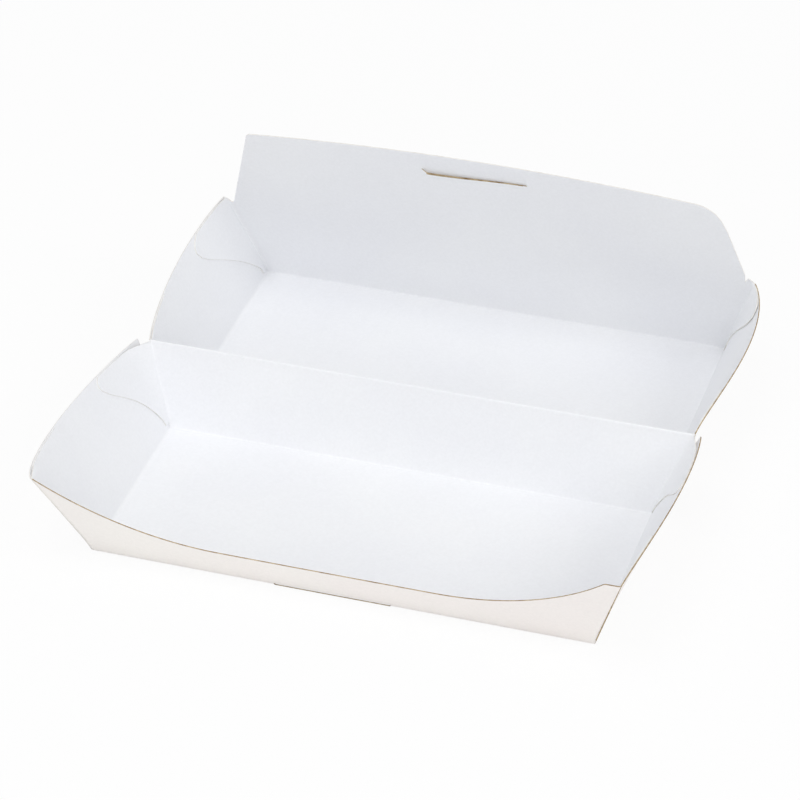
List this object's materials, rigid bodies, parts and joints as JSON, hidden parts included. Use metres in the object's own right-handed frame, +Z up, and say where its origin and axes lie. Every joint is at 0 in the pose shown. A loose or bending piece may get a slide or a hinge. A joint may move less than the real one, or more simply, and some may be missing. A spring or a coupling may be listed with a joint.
{
  "type": "takeout food box",
  "caption": "Long folded card clamshell lying open: base tray with a dipped front wall and lock slit, lid tray with a tall tuck flap and tongue, joined by one long fold.",
  "frame": {"origin": "middle of the underside of the base tray's floor", "axes": "+Z up, +X along the hinge fold to the right seen from the front, +Y from the base tray to the opened lid tray"},
  "size_m": [0.2376, 0.2284, 0.0874],
  "materials": {
    "card": "white coated card with brown cut edges"
  },
  "bodies": {
    "base": {"base_tray": "card"},
    "lid": {"lid_tray": "card"}
  },
  "joints": [
    {"name": "lid_hinge", "type": "hinge", "parent": "base", "child": "lid", "pos_m": [0, 0.05331, 0.034], "axis": [1, 0, 0], "range_deg": [0, 166.5]}
  ]
}
